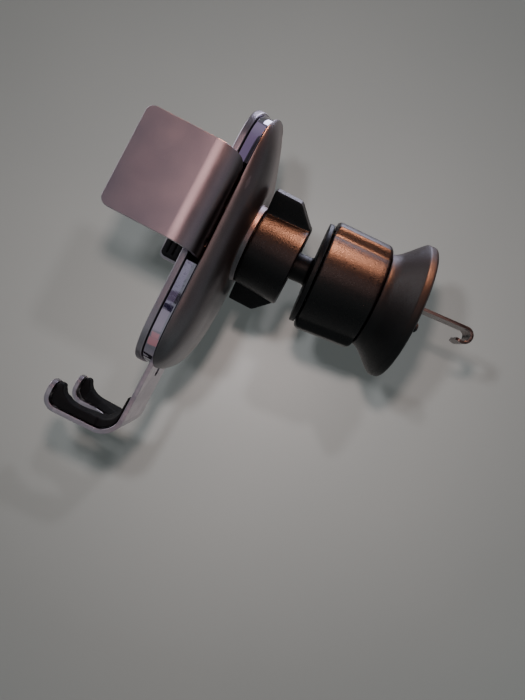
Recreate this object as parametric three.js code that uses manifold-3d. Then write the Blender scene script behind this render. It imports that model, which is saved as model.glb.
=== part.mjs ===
// Car phone mount: a gravity-clamped cradle, a ball joint and a hook clip for a vent louvre.
// Millimetres. +Z is up along the cradle, -Y faces the phone, +Y faces the vent, X runs across.
// The origin is the centre of the face the phone rests on, on the axis of the ball joint.
import * as THREE from 'three';
import { mergeVertices } from 'three/addons/utils/BufferGeometryUtils.js';
import Module from 'manifold-3d';

const wasm = await Module();
wasm.setup();

// ---- driving dimensions ----

const GAP = 0.3; // air between neighbouring pieces

// Half outline of the cradle body, x and z, from the top centre to the bottom centre.
const OUTLINE = [
  [0, 40.5],
  [9, 39.5],
  [17, 37.2],
  [24.5, 33.8],
  [29, 30.2],
  [31.4, 25.5],
  [31.9, 19],
  [31.4, 10],
  [29.8, -2],
  [28.4, -14],
  [27.4, -26],
  [26.8, -36],
  [25.2, -44],
  [21.3, -49.8],
  [15, -52.3],
  [8, -53.2],
  [0, -53.5],
];
const OUTLINE_SAMPLES = 52;

// Layers of the cradle, front (phone side) to back.
const PLATE = { front: 0, back: 2.1, bevel: 0.5 };
const BAND = { front: 2.4, back: 6.1, inset: 0.25, width: 2.4 };
const ARM_LAYER = { front: 2.5, back: 4.1 };
const FOOT_LAYER = { front: 4.5, back: 6.1 };
const SLIDER_LAYER = { front: 6.4, back: 8.1 };
const CHASSIS = { front: 8.4, back: 10, inset: 8, top: 23.4 };
const SHELL = { front: 6.4, crown: 14.3, wall: 1.2, collarBack: 15, collarR: 14, holeR: 11.6 };

// Arms.
const ARM = {
  outerX: 42.3,
  tipY: -23.4,
  top: 15,
  bottom: -15.8,
  bendR: 12,
  corner: 2.5,
  rootBack: 5.9, // back face where it passes between the front plate and the back shell
  rootTop: 12.4,
  joggle: [22, 24.8], // steps forward here, in front of the foot's stem
  innerX: 16,
};
// The upper edge narrows towards the root, x and z.
const ARM_SHOULDER = [[39.6, 15.01], [37.2, 14.8], [34.4, 14.1], [31.6, 12.8], [29.5, 12.4]];
const ARM_PAD = { thick: 2, tipY: -22.5, rootY: -7, inset: 1 };
const ARM_PIN = { x: 18, z: 1, r: 1 };
const ARM_WINDOWS = [
  { low: 1.6, high: 8.6 },
  { low: -11.6, high: -9.4 },
];
const ARM_SLOT = { bottom: -17.4, top: 15.7 };
const ARM_TRAVEL = 8;
const FOOT_TRAVEL = 12;
const SLOT_CLEAR = 0.35; // between an arm pin and the slot it runs in

// Foot: a bent sheet, J-shaped from the side and forked from below.
const FOOT = {
  top: -8,
  stemHalf: 13.7,
  tipHalf: 17,
  sheet: 1.6,
  bottom: -80.6,
  bendR: 6.8,
  tipY: -20.5,
  tipR: 6.6,
  tipTop: -71,
  crotchHalf: 4.5,
  gapHalf: 9,
};
const FOOT_PAD = { thick: 2.9, top: -65.5, filletR: 11, tipTop: -70.5 };
const GUIDE = { halfWidth: 2, top: -20, bottom: -57, pinZ: -38 };

// Ball joint, on the Y axis.
const BALL = { y: 23.1, r: 8.5, neckR: 5 };
const SEAT = { inner: 8.75, outer: 9.25 };
const SOCKET = { cavity: 9.55, outerR: 11.2, mouthY: 26.5, flangeR: 15, flangeBack: 11.8 };
const NUT = {
  front: 15.3,
  back: 31.8,
  frontR: 13.9,
  backR: 14.8,
  boreR: 11.5,
  wingR: 22,
  wingThick: 3.8,
  wingFlatY: 24,
  wingTurn: 32,
};

// Vent clip, measured along its own axis from the ball centre. It stands tilted up at rest.
const CLIP_TILT = 4;
const DISC = { front: 14.6, back: 16.5, r: 18.3 };
const KNOB = {
  front: 16.9,
  back: 38,
  frontR: 17.9,
  backR: 17.1,
  lobe: 2.3,
  lobeTurn: 12,
  lobeHalf: 28,
  boreR: 9.35,
  round: 0.9,
};
const STEM = { r: 6, back: 46, flatZ: 2.65, flatFrom: 28 };
const SLEEVE = { front: 17.2, back: 49, innerR: 6.4, outerR: 9, flangeR: 11.4, flangeFront: 47.4 };
const FLARE = {
  front: 38.3,
  back: 51.2,
  // Radius of the flared base at steps along its axis.
  profile: [[17, 38.3], [17.3, 39.6], [18.2, 41.3], [20.2, 43.6], [22.4, 45.9], [24.2, 47.9],
    [24.7, 49.2], [24.4, 50.5], [23.4, 51.2]],
  rimInnerR: 20,
  hubR: 11.8,
  floor: 41.4,
};
const NUB = { r: 1.6, x: 21, z: -6.3, height: 1.2 };
const HOOK = { width: 8, thick: 1.05, low: 2.95, start: 29, end: 76, curlR: 3.15, back: 2.2 };

// ---- geometry helpers ----

// One closed indexed surface with outward faces and no zero-area triangles.
function closed(geometry) {
  geometry.deleteAttribute('normal');
  if (geometry.attributes.uv) {
    geometry.deleteAttribute('uv');
  }
  const merged = mergeVertices(geometry, 1e-4);
  const kept = [];
  const index = merged.index.array;
  for (let i = 0; i < index.length; i += 3) {
    const [a, b, c] = [index[i], index[i + 1], index[i + 2]];
    if (a !== b && b !== c && c !== a) {
      kept.push(a, b, c);
    }
  }
  merged.setIndex(kept);
  if (signedVolume(merged) < 0) {
    for (let i = 0; i < kept.length; i += 3) {
      [kept[i], kept[i + 1]] = [kept[i + 1], kept[i]];
    }
    merged.setIndex(kept);
  }
  return merged;
}

function signedVolume(geometry) {
  const p = geometry.attributes.position;
  const index = geometry.index.array;
  const [a, b, c] = [new THREE.Vector3(), new THREE.Vector3(), new THREE.Vector3()];
  let sum = 0;
  for (let i = 0; i < index.length; i += 3) {
    a.fromBufferAttribute(p, index[i]);
    b.fromBufferAttribute(p, index[i + 1]);
    c.fromBufferAttribute(p, index[i + 2]);
    sum += a.dot(b.cross(c)) / 6;
  }
  return sum;
}

function toSolid(geometry) {
  const body = closed(geometry);
  const vertProperties = new Float32Array(body.attributes.position.array);
  const triVerts = new Uint32Array(body.index.array);
  return new wasm.Manifold(new wasm.Mesh({ numProp: 3, vertProperties, triVerts }));
}

function toGeometry(solid) {
  const mesh = solid.getMesh();
  const geometry = new THREE.BufferGeometry();
  geometry.setAttribute('position', new THREE.BufferAttribute(mesh.vertProperties, 3));
  geometry.setIndex(Array.from(mesh.triVerts));
  return closed(geometry);
}

function cut(base, tools) {
  let solid = toSolid(base);
  for (const tool of tools) {
    solid = solid.subtract(toSolid(tool));
  }
  return toGeometry(solid);
}

function join(base, extras) {
  let solid = toSolid(base);
  for (const extra of extras) {
    solid = solid.add(toSolid(extra));
  }
  return toGeometry(solid);
}

function common(first, second) {
  return toGeometry(toSolid(first).intersect(toSolid(second)));
}

function box(x0, x1, y0, y1, z0, z1) {
  const geometry = new THREE.BoxGeometry(x1 - x0, y1 - y0, z1 - z0);
  return geometry.translate((x0 + x1) / 2, (y0 + y1) / 2, (z0 + z1) / 2);
}

function polygon(points) {
  return new THREE.Shape(points.map(([a, b]) => new THREE.Vector2(a, b)));
}

// A flat shape given in x and z, thickened from y0 to y1.
function alongY(shape, y0, y1, bevel = 0) {
  const settings = { depth: y1 - y0 - 2 * bevel, bevelEnabled: bevel > 0, curveSegments: 8 };
  settings.bevelThickness = bevel;
  settings.bevelSize = bevel;
  settings.bevelOffset = -bevel;
  settings.bevelSegments = 1;
  const geometry = new THREE.ExtrudeGeometry(shape, settings);
  return geometry.rotateX(Math.PI / 2).translate(0, y1 - bevel, 0);
}

// A flat shape given in y and z, thickened from x0 to x1.
function alongX(shape, x0, x1) {
  const settings = { depth: x1 - x0, bevelEnabled: false, curveSegments: 6 };
  const geometry = new THREE.ExtrudeGeometry(shape, settings);
  const turn = new THREE.Matrix4().makeBasis(
    new THREE.Vector3(0, 1, 0),
    new THREE.Vector3(0, 0, 1),
    new THREE.Vector3(1, 0, 0),
  );
  return geometry.applyMatrix4(turn).translate(x0, 0, 0);
}

// A flat shape given in x and y, thickened from z0 to z1.
function alongZ(shape, z0, z1) {
  const settings = { depth: z1 - z0, bevelEnabled: false, curveSegments: 6 };
  return new THREE.ExtrudeGeometry(shape, settings).translate(0, 0, z0);
}

// A body turned about the Y axis from radius and y pairs.
function turned(profile, segments) {
  const points = profile.map(([r, y]) => new THREE.Vector2(r, y));
  return closed(new THREE.LatheGeometry(points, segments));
}

function rodY(r, y0, y1, x, z, segments = 16) {
  return turned([[0, y0], [r, y0], [r, y1], [0, y1]], segments).translate(x, 0, z);
}

function arcPoints(cx, cy, r, fromDeg, toDeg, steps) {
  const points = [];
  for (let i = 0; i <= steps; i += 1) {
    const a = THREE.MathUtils.degToRad(fromDeg + ((toDeg - fromDeg) * i) / steps);
    points.push([cx + r * Math.cos(a), cy + r * Math.sin(a)]);
  }
  return points;
}

// A strip of even thickness on the left of a path of points.
function stripShape(path, thick) {
  const far = path.map(([a, b], i) => {
    const before = path[Math.max(i - 1, 0)];
    const after = path[Math.min(i + 1, path.length - 1)];
    const along = new THREE.Vector2(after[0] - before[0], after[1] - before[1]).normalize();
    return [a - along.y * thick, b + along.x * thick];
  });
  return polygon([...path, ...far.reverse()]);
}

function roundedRect(x0, x1, z0, z1, r) {
  return polygon([
    ...arcPoints(x1 - r, z1 - r, r, 0, 90, 4),
    ...arcPoints(x0 + r, z1 - r, r, 90, 180, 4),
    ...arcPoints(x0 + r, z0 + r, r, 180, 270, 4),
    ...arcPoints(x1 - r, z0 + r, r, 270, 360, 4),
  ]);
}

// The cradle's outline as a smooth closed curve, shrunk inwards by an even amount.
function outlinePoints(inset = 0) {
  const left = OUTLINE.slice(1, -1).reverse().map(([x, z]) => [-x, z]);
  const control = [...OUTLINE, ...left].map(([x, z]) => new THREE.Vector3(x, z, 0));
  const curve = new THREE.CatmullRomCurve3(control, true, 'centripetal');
  const points = curve.getSpacedPoints(OUTLINE_SAMPLES).slice(0, OUTLINE_SAMPLES);
  return points.map((p, i) => {
    const before = points[(i + OUTLINE_SAMPLES - 1) % OUTLINE_SAMPLES];
    const after = points[(i + 1) % OUTLINE_SAMPLES];
    const along = new THREE.Vector2(after.x - before.x, after.y - before.y).normalize();
    return [p.x + along.y * inset, p.y - along.x * inset];
  });
}

// Stands a piece built on the Y axis about the ball centre onto the tilted clip axis.
function onClip(geometry) {
  const tilt = THREE.MathUtils.degToRad(CLIP_TILT);
  return geometry.rotateX(tilt).translate(0, BALL.y, 0);
}

// ---- cradle ----

function frontPlate() {
  const plate = alongY(polygon(outlinePoints()), PLATE.front, PLATE.back, PLATE.bevel);
  const drop = PLATE.back - ARM.rootBack + ARM.bendR;
  const reach = Math.sqrt((ARM.bendR - armSheet()) ** 2 - drop ** 2);
  const notchX = ARM.outerX - ARM.bendR + reach - ARM_TRAVEL - 0.5;
  const [low, high] = [ARM_SLOT.bottom, ARM_SLOT.top];
  const notches = [-1, 1].map((side) => {
    const [x0, x1] = side > 0 ? [notchX, 50] : [-50, -notchX];
    return alongY(roundedRect(x0, x1, low, high, 2.5), -1, 4);
  });
  const sockets = screwSpots().map(([x, z]) => rodY(1.4, 0.8, 3, x, z, 12));
  return cut(plate, [...notches, ...sockets]);
}

// The upper or lower part of the band, which the arms' slots divide.
function trimBand(upper) {
  const outer = outlinePoints(BAND.inset);
  const inner = outlinePoints(BAND.inset + BAND.width);
  const ring = (points, y) => points.map(([x, z]) => [x, y, z]);
  const band = ringSurface([
    ring(outer, BAND.front),
    ring(outer, BAND.back),
    ring(inner, BAND.back),
    ring(inner, BAND.front),
  ]);
  const half = FOOT.stemHalf + 0.5;
  const footWay = box(-half, half, FOOT_LAYER.front - GAP, 9, -60, -40);
  const rest = upper ? box(-50, 50, 0, 9, -60, ARM_SLOT.top) : box(-50, 50, 0, 9, ARM_SLOT.bottom, 60);
  return cut(band, [rest, footWay]);
}

function screwSpots() {
  return [[-17, 19.5], [17, 19.5], [-19, -35], [19, -35]];
}

function chassis() {
  const c = CHASSIS;
  const sheet = alongY(polygon(outlinePoints(c.inset)), c.front, c.back);
  const base = cut(sheet, [box(-50, 50, 0, 20, c.top, 60)]);
  const bosses = screwSpots().map(([x, z]) => rodY(2.6, BAND.front, c.front + 0.5, x, z, 16));
  const rails = [];
  for (const side of [-1, 1]) {
    const upper = box(21.4, 23.4, BAND.front, c.front + 0.5, ARM.rootTop + 0.5, ARM.rootTop + 2);
    const lower = box(19.8, 21.4, BAND.front, c.front + 0.5, ARM.bottom - 2, ARM.bottom - 0.4);
    rails.push(mirrored(upper, side), mirrored(lower, side));
  }
  const springPost = rodY(1.1, 4.4, c.front + 0.5, 0, 21.9, 12);
  const body = join(base, [...bosses, ...rails, springPost]);
  const holes = screwSpots().map(([x, z]) => rodY(1.4, 0, 12, x, z, 12));
  const sinks = screwSpots().map(([x, z]) => rodY(2.6, c.front + 0.4, 12, x, z, 16));
  return cut(body, [...holes, ...sinks]);
}

function caseScrew([x, z]) {
  const head = [[0, 9.9], [2.2, 9.9], [2.2, 9.1], [1.1, 9.1], [1.1, 1.2], [0, 1.2]];
  const screw = turned(head, 12);
  const key = turned([[0, 9.4], [1.1, 9.4], [1.1, 11], [0, 11]], 6);
  return cut(screw, [key]).translate(x, 0, z);
}

function guidePin() {
  const pin = turned([[0, 2.7], [1.2, 2.7], [1.6, 3.1], [1.6, 8.1], [0, 8.1]], 16);
  return pin.translate(0, 0, GUIDE.pinZ);
}

// Height of the domed back over a share of the way out to the rim, in a direction from the top.
function domeY(share, cosine) {
  const upper = Math.max(0, cosine) ** 2;
  const power = THREE.MathUtils.lerp(4.4, 2.3, upper);
  const softness = THREE.MathUtils.lerp(0.5, 0.95, upper);
  const crown = THREE.MathUtils.lerp(SHELL.crown, SHELL.crown - 0.3, upper);
  const rise = Math.max(0, 1 - share ** power) ** softness;
  return SHELL.front + (crown - SHELL.front) * rise;
}

function backShell() {
  const rim = outlinePoints();
  const shares = [0.12, 0.35, 0.56, 0.72, 0.84, 0.92, 0.97, 1];
  const rings = [];
  const ring = (place) => rings.push(rim.map(([x, z]) => place(x, z, Math.hypot(x, z))));
  // Inner face from the rim in to the hole, then the collar, then the outer face back out.
  for (const share of [1, 0.9, 0.76, 0.56, 0.3]) {
    ring((x, z, r) => {
      const reach = THREE.MathUtils.lerp(SHELL.holeR, r - SHELL.wall, share);
      const y = share === 1 ? SHELL.front : domeY(reach / r, z / r) - SHELL.wall;
      return [(x / r) * reach, Math.max(y, SHELL.front), (z / r) * reach];
    });
  }
  const circle = (radius, y) => ring((x, z, r) => [(x / r) * radius, y, (z / r) * radius]);
  circle(SHELL.holeR, SHELL.crown - SHELL.wall - 0.6);
  circle(SHELL.holeR, SHELL.collarBack);
  circle(SHELL.collarR - 0.4, SHELL.collarBack);
  circle(SHELL.collarR, SHELL.collarBack - 0.4);
  for (const share of shares) {
    ring((x, z, r) => {
      const reach = THREE.MathUtils.lerp(SHELL.collarR, r, share);
      return [(x / r) * reach, domeY(reach / r, z / r), (z / r) * reach];
    });
  }
  return ringSurface(rings);
}

// A closed ring-shaped surface through rings of points, the last joined back to the first.
function ringSurface(rings) {
  const count = rings[0].length;
  const index = [];
  for (let i = 0; i < rings.length; i += 1) {
    const [here, next] = [i * count, ((i + 1) % rings.length) * count];
    for (let j = 0; j < count; j += 1) {
      const k = (j + 1) % count;
      index.push(here + j, next + j, next + k, here + j, next + k, here + k);
    }
  }
  const geometry = new THREE.BufferGeometry();
  const positions = new Float32Array(rings.flat(2));
  geometry.setAttribute('position', new THREE.BufferAttribute(positions, 3));
  geometry.setIndex(index);
  return closed(geometry);
}

function ballSocket() {
  const s = SOCKET;
  const mouth = 90 - THREE.MathUtils.radToDeg(Math.acos((s.mouthY - BALL.y) / s.cavity));
  const cavity = arcPoints(0, BALL.y, s.cavity, -90, mouth, 9);
  cavity[0][0] = 0;
  const profile = [
    ...cavity,
    [s.outerR - 0.5, s.mouthY],
    [s.outerR, s.mouthY - 0.5],
    [s.outerR, s.flangeBack],
    [s.flangeR, s.flangeBack],
    [s.flangeR, CHASSIS.back + GAP],
    [0, CHASSIS.back + GAP],
  ];
  const slits = [
    box(-0.6, 0.6, 19, 30, -15, 15),
    box(-15, 15, 19, 30, -0.6, 0.6),
  ];
  return cut(turned(profile, 28), slits);
}

// ---- ball joint ----

// A thin spherical ring about the ball, between two angles measured from the +Y axis.
function ballSeat(fromDeg, toDeg, steps) {
  const inner = arcPoints(0, BALL.y, SEAT.inner, 90 - fromDeg, 90 - toDeg, steps);
  const outer = arcPoints(0, BALL.y, SEAT.outer, 90 - toDeg, 90 - fromDeg, steps);
  const loop = [...inner, ...outer];
  return turned([...loop, loop[0]], 24);
}

function clampNut() {
  const n = NUT;
  const lip = arcPoints(0, BALL.y, SOCKET.cavity, 22.8, 31.3, 2);
  const profile = [
    [n.boreR, n.front],
    [n.boreR, SOCKET.mouthY + GAP],
    ...lip,
    [10.6, n.back],
    [n.backR - 0.8, n.back],
    [n.backR, n.back - 0.8],
    [n.frontR, n.front + 0.6],
    [n.frontR - 0.6, n.front],
    [n.boreR, n.front],
  ];
  const half = n.wingThick / 2;
  const wingShape = polygon([
    [-half, 12.4],
    [half, 12.4],
    [half, n.wingR - 0.8],
    [half - 0.8, n.wingR],
    [0.8 - half, n.wingR],
    [-half, n.wingR - 0.8],
  ]);
  const wings = [n.wingTurn, n.wingTurn + 180].map((turn) => {
    const slab = alongY(wingShape, n.front + 0.2, n.back - 0.6);
    const slope = polygon([[n.wingFlatY, n.wingR + 1], [n.back, 14.6], [n.back + 9, n.wingR + 9]]);
    const wing = cut(slab, [alongX(slope, -5, 5)]);
    return wing.rotateY(THREE.MathUtils.degToRad(turn));
  });
  return join(turned(profile, 32), wings);
}

// ---- clip ----

function ballStud() {
  const neckStart = 90 - THREE.MathUtils.radToDeg(Math.asin(BALL.neckR / BALL.r));
  const ball = arcPoints(0, 0, BALL.r, -90, neckStart, 9);
  ball[0][0] = 0;
  const profile = [
    ...ball,
    [BALL.neckR, 11.6],
    [BALL.neckR + 0.8, 13.4],
    [BALL.neckR + 2.4, DISC.front],
    [DISC.r - 0.5, DISC.front],
    [DISC.r, DISC.front + 0.5],
    [DISC.r, DISC.back - 0.5],
    [DISC.r - 0.5, DISC.back],
    [STEM.r, DISC.back],
    [STEM.r, STEM.back],
    [0, STEM.back],
  ];
  const flat = box(-10, 10, STEM.flatFrom, STEM.back + 1, STEM.flatZ, 10);
  return onClip(cut(turned(profile, 28), [flat]));
}

function threadSleeve() {
  const s = SLEEVE;
  return onClip(turned([
    [s.innerR, s.front],
    [s.outerR - 0.5, s.front],
    [s.outerR, s.front + 0.5],
    [s.outerR, s.flangeFront],
    [s.flangeR, s.flangeFront],
    [s.flangeR, s.back],
    [s.innerR, s.back],
    [s.innerR, s.front],
  ], 28));
}

// A round knob with two broad lobes and softened ends.
function knob() {
  const k = KNOB;
  const steps = 64;
  const radius = (deg, share) => {
    const base = THREE.MathUtils.lerp(k.frontR, k.backR, share);
    const off = Math.abs(((deg - k.lobeTurn + 270) % 180) - 90);
    const lobe = 1 - THREE.MathUtils.smoothstep(off, k.lobeHalf - 7, k.lobeHalf + 7);
    return base + k.lobe * lobe;
  };
  const ring = (y, inset) => {
    const share = (y - k.front) / (k.back - k.front);
    return Array.from({ length: steps }, (_, i) => {
      const deg = (i * 360) / steps;
      const r = radius(deg, share) - inset;
      const a = THREE.MathUtils.degToRad(deg);
      return [r * Math.sin(a), y, r * Math.cos(a)];
    });
  };
  const bore = (y) => ring(y, 0).map(([x, , z]) => {
    const r = Math.hypot(x, z);
    return [(x / r) * k.boreR, y, (z / r) * k.boreR];
  });
  return onClip(ringSurface([
    bore(k.front),
    ring(k.front, k.round),
    ring(k.front + k.round, 0),
    ring(k.back - k.round, 0),
    ring(k.back, k.round),
    bore(k.back),
  ]));
}

function flaredBase() {
  const f = FLARE;
  return onClip(turned([
    [SLEEVE.outerR + GAP, f.front],
    ...f.profile,
    [f.rimInnerR, f.back],
    [f.rimInnerR - 1, f.back - 3],
    [f.rimInnerR - 4.6, f.floor],
    [f.hubR, f.floor],
    [f.hubR, SLEEVE.flangeFront - GAP],
    [SLEEVE.outerR + GAP, SLEEVE.flangeFront - GAP],
    [SLEEVE.outerR + GAP, f.front],
  ], 36));
}

function faceNub(side) {
  const start = FLARE.back + GAP / 2;
  const profile = [
    [0, start],
    [NUB.r, start],
    [NUB.r, start + NUB.height * 0.6],
    [NUB.r * 0.6, start + NUB.height],
    [0, start + NUB.height],
  ];
  return onClip(turned(profile, 12).translate(side * NUB.x, 0, NUB.z));
}

function hookStrip() {
  const h = HOOK;
  const top = h.low + h.thick;
  const cy = h.end - h.curlR;
  const cz = top - h.curlR;
  const path = [
    [h.start, top],
    ...arcPoints(cy, cz, h.curlR, 90, -100, 9),
  ];
  const last = path[path.length - 1];
  path.push([h.end - h.curlR - h.back, last[1] + 0.5]);
  const outer = path.slice().reverse();
  const strip = alongX(stripShape(outer, h.thick), -h.width / 2, h.width / 2);
  const holes = hookRivetSpots().map((y) => rodZ(0.95, 0, 9, 0, y, 10));
  return onClip(cut(strip, holes));
}

function hookRivetSpots() {
  return [32.5, 41.5];
}

function rodZ(r, z0, z1, x, y, segments) {
  const rod = turned([[0, z0], [r, z0], [r, z1], [0, z1]], segments);
  return rod.rotateX(Math.PI / 2).translate(x, y, 0);
}

function hookRivet(y) {
  const top = HOOK.low + HOOK.thick + 0.15;
  const profile = [[0, STEM.flatZ + 0.1], [0.7, STEM.flatZ + 0.1], [0.7, top], [1.6, top],
    [1.2, top + 0.8], [0, top + 0.95]];
  return onClip(turned(profile, 10).rotateX(Math.PI / 2).translate(0, y, 0));
}

// ---- arms ----

function armSheet() {
  return ARM_LAYER.back - ARM_LAYER.front;
}

function arm(side) {
  const a = ARM;
  const mid = a.outerX - a.bendR;
  const bend = arcPoints(mid, a.rootBack - a.bendR, a.bendR, 90, 0, 8);
  const path = [
    [a.innerX, ARM_LAYER.back],
    [a.joggle[0], ARM_LAYER.back],
    [a.joggle[1], a.rootBack],
    ...bend,
    [a.outerX, a.tipY],
  ];
  const blade = alongZ(stripShape(path.slice().reverse(), armSheet()), a.bottom, a.top);
  const face = roundedRect(a.tipY, 40, a.bottom, a.top, a.corner);
  const rounded = common(blade, alongX(face, 0, 60));
  const above = polygon([...ARM_SHOULDER, [10, a.rootTop], [10, 20], [39.6, 20]]);
  const holes = ARM_WINDOWS.map((w) => box(27, 33, 0.8, 8, w.low, w.high));
  const pinHole = rodY(ARM_PIN.r + 0.25, 0, 6, ARM_PIN.x, ARM_PIN.z, 12);
  return mirrored(cut(rounded, [alongY(above, 0, 8), ...holes, pinHole]), side);
}

// The right-hand piece as it is, or its mirror image for the left.
function mirrored(geometry, side) {
  return side > 0 ? geometry : closed(geometry.scale(-1, 1, 1));
}

function armPad(side) {
  const p = ARM_PAD;
  const x1 = ARM.outerX - armSheet() - GAP;
  const shape = roundedRect(p.tipY, p.rootY, ARM.bottom + p.inset, ARM.top - p.inset, 2);
  const pad = alongX(shape, x1 - p.thick, x1);
  const grooves = [];
  for (let y = -18; y < -7; y += 4) {
    grooves.push(box(x1 - p.thick - 1, x1 - p.thick + 0.5, y - 0.5, y + 0.5, -13, 11));
  }
  return mirrored(cut(pad, grooves), side);
}

function armPin(side) {
  const y1 = SLIDER_LAYER.back;
  const profile = [[0, 2.4], [ARM_PIN.r, 2.4], [ARM_PIN.r, y1 - 0.3], [ARM_PIN.r - 0.3, y1], [0, y1]];
  return turned(profile, 12).translate(side * ARM_PIN.x, 0, ARM_PIN.z);
}

// ---- foot ----

// Side view of the J, as the path of its outer (lower) face from the top of the stem to the tip.
function footPath(topZ, tipZ, offset) {
  const f = FOOT;
  const outer = f.bendR + f.sheet / 2 - offset;
  const tip = f.tipR + f.sheet / 2 - offset;
  const backY = FOOT_LAYER.back - offset;
  const lowZ = f.bottom + offset;
  const tipY = f.tipY + offset;
  return [
    [backY, topZ],
    ...arcPoints(backY - outer, lowZ + outer, outer, 0, -90, 6),
    ...arcPoints(tipY + tip, lowZ + tip, tip, -90, -180, 5),
    [tipY, tipZ],
  ];
}

// Trims a J-shaped sheet to the stem's width, the splayed prongs and the gap between them.
function forked(sheet, inset) {
  const f = FOOT;
  const tools = [];
  for (const side of [-1, 1]) {
    const stem = f.stemHalf - inset;
    const tip = f.tipHalf - inset;
    const x = (v) => side * v;
    const beside = polygon([[x(stem), 0], [x(stem), -66], [x(tip - 1.4), -90], [x(40), -90], [x(40), 0]]);
    tools.push(alongY(beside, 0, 12));
    const below = polygon([[x(tip - 1.6), 0.02], [x(tip), -25], [x(40), -25], [x(40), 0.02]]);
    tools.push(alongZ(below, -95, -60));
  }
  const [crotch, gap] = [f.crotchHalf + inset, f.gapHalf + inset];
  const between = polygon([[-crotch, -1.5], [-gap, -9], [-gap, -30], [gap, -30], [gap, -9], [crotch, -1.5]]);
  tools.push(alongZ(between, -95, -60));
  return cut(sheet, tools);
}

function footBracket() {
  const f = FOOT;
  const sheet = alongX(stripShape(footPath(f.top, f.tipTop, 0), -f.sheet), -25, 25);
  const slot = roundedRect(-GUIDE.halfWidth, GUIDE.halfWidth, GUIDE.bottom, GUIDE.top, 1.9);
  const holes = footRivetSpots().map(([x, z]) => rodY(1.25, 0, 12, x, z, 12));
  return cut(forked(sheet, 0), [alongY(slot, 0, 12), ...holes]);
}

// Rubber lining of the J: an even layer on the prongs that fills out the bend with a fillet.
function footPad() {
  const p = FOOT_PAD;
  const under = footPath(p.top, p.tipTop, FOOT.sheet + GAP);
  const [backY, tipY] = [under[0][0], under[under.length - 1][0]];
  const floorZ = FOOT.bottom + FOOT.sheet + GAP + p.thick;
  const innerTip = FOOT.tipR - FOOT.sheet / 2 - GAP - p.thick;
  const filletY = backY - 0.7 - p.filletR;
  const top = [
    ...arcPoints(tipY + p.thick + innerTip, floorZ + innerTip, innerTip, 180, 270, 3),
    ...arcPoints(filletY, floorZ + p.filletR, p.filletR, 270, 350, 6),
  ];
  const shape = polygon([...under, [tipY + p.thick - 0.6, p.tipTop], ...top]);
  return forked(alongX(shape, -25, 25), 0.4);
}

function footRivetSpots() {
  return [[-8.5, -13], [8.5, -13]];
}

function footRivet([x, z]) {
  const y0 = FOOT_LAYER.front - 0.2;
  const y1 = SLIDER_LAYER.back;
  return turned([[0, y0], [1, y0], [1, y1], [0, y1]], 12).translate(x, 0, z);
}

// Slider plate with two sloping slots that draw the arms in as it goes down.
function footSlider() {
  const plate = alongY(polygon([
    [-11.6, -19.5], [11.6, -19.5], [11.6, -8], [21.6, -3], [21.6, 6], [13.6, 17.2],
    [-13.6, 17.2], [-21.6, 6], [-21.6, -3], [-11.6, -8],
  ]), SLIDER_LAYER.front, SLIDER_LAYER.back);
  const slots = [];
  for (const side of [-1, 1]) {
    const r = ARM_PIN.r + SLOT_CLEAR;
    const start = [ARM_PIN.x, ARM_PIN.z];
    const end = [ARM_PIN.x - ARM_TRAVEL, ARM_PIN.z + FOOT_TRAVEL];
    const slope = THREE.MathUtils.radToDeg(Math.atan2(FOOT_TRAVEL, -ARM_TRAVEL));
    const shape = polygon([
      ...arcPoints(end[0], end[1], r, slope - 90, slope + 90, 6),
      ...arcPoints(start[0], start[1], r, slope + 90, slope + 270, 6),
    ].map(([x, z]) => [side * x, z]));
    slots.push(alongY(shape, 0, 12));
  }
  const springWay = box(-3.1, 3.1, 0, 12, 0, 20);
  const holes = footRivetSpots().map(([x, z]) => rodY(1.25, 0, 12, x, z, 12));
  return cut(plate, [...slots, springWay, ...holes]);
}

function returnSpring() {
  const [r, wire, turns, steps] = [1.6, 0.32, 7, 56];
  const [low, high] = [1, 20];
  const points = [];
  for (let i = 0; i <= steps; i += 1) {
    const a = (i / steps) * turns * 2 * Math.PI;
    const z = low + wire + ((high - low - 2 * wire) * i) / steps;
    points.push(new THREE.Vector3(r * Math.sin(a), 6.25 + r * Math.cos(a), z));
  }
  const section = polygon(arcPoints(0, 0, wire, 0, 300, 5));
  const extrudePath = new THREE.CatmullRomCurve3(points);
  return closed(new THREE.ExtrudeGeometry(section, { steps, extrudePath }));
}

// ---- assembly ----

const group = new THREE.Group();
group.name = 'car_phone_mount';

const ALUMINIUM = { color: 0x8a7f88, metalness: 1, roughness: 0.4 };
const DARK_ALUMINIUM = { color: 0x5a5558, metalness: 1, roughness: 0.4 };
const GLOSS = { color: 0x9a90a0, metalness: 1, roughness: 0.06 };
const BLACK = { color: 0x111114, metalness: 0, roughness: 0.45 };
const RUBBER = { color: 0x0c0c10, metalness: 0, roughness: 0.8 };
const STEEL = { color: 0xb0b0b4, metalness: 1, roughness: 0.3 };

function addPiece(name, geometry, look) {
  const mesh = new THREE.Mesh(closed(geometry), new THREE.MeshStandardMaterial(look));
  mesh.name = name;
  group.add(mesh);
}

addPiece('front_plate', frontPlate(), ALUMINIUM);
addPiece('trim_band_upper', trimBand(true), GLOSS);
addPiece('trim_band_lower', trimBand(false), GLOSS);
addPiece('chassis', chassis(), BLACK);
addPiece('back_shell', backShell(), DARK_ALUMINIUM);
addPiece('ball_socket', ballSocket(), BLACK);
screwSpots().forEach((spot, i) => addPiece(`case_screw_${i + 1}`, caseScrew(spot), STEEL));
addPiece('guide_pin', guidePin(), STEEL);
addPiece('return_spring', returnSpring(), STEEL);

addPiece('clamp_nut', clampNut(), BLACK);
addPiece('rear_seat', ballSeat(130, 172, 5), BLACK);
addPiece('front_seat', ballSeat(61, 110, 5), BLACK);

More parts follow.
